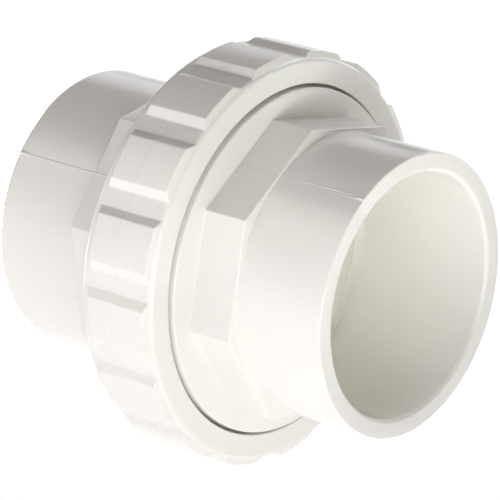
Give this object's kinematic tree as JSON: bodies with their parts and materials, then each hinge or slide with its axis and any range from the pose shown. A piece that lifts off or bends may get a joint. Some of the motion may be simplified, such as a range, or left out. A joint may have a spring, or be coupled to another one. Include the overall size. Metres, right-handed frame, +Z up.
{
  "type": "pipe union",
  "caption": "Solvent-weld PVC pipe union: two socket ends drawn together on an O-ring by a loose threaded nut with grip pads.",
  "frame": {"origin": "on the pipe axis at the middle of the overall length", "axes": "+X along the pipe axis out of the end connector's socket, +Z up"},
  "size_m": [0.101, 0.104, 0.104],
  "materials": {
    "nut_pvc": "satin moulded white PVC",
    "connector_pvc": "satin moulded white PVC",
    "body_pvc": "satin moulded white PVC",
    "seal_rubber": "matte black rubber"
  },
  "bodies": {
    "threaded_body": {"threaded_body": "body_pvc"},
    "seal_carrier": {"o_ring": "seal_rubber"},
    "end_connector": {"end_connector": "connector_pvc"},
    "union_nut": {"union_nut": "nut_pvc"}
  },
  "joints": [
    {"name": "union_slide", "type": "slide", "parent": "threaded_body", "child": "seal_carrier", "axis": [1, 0, 0], "range_m": [0, 0.00801]},
    {"name": "nut_turn", "type": "hinge", "parent": "seal_carrier", "child": "union_nut", "pos_m": [0, 0, 0], "axis": [1, 0, 0], "range_deg": [0, 720]},
    {"name": "connector_swivel", "type": "hinge", "parent": "seal_carrier", "child": "end_connector", "pos_m": [0, 0, 0], "axis": [1, 0, 0], "continuous": true}
  ],
  "couplings": [
    {"joint": "union_slide", "follows": "nut_turn", "m_per_rad": 0.00063662}
  ]
}
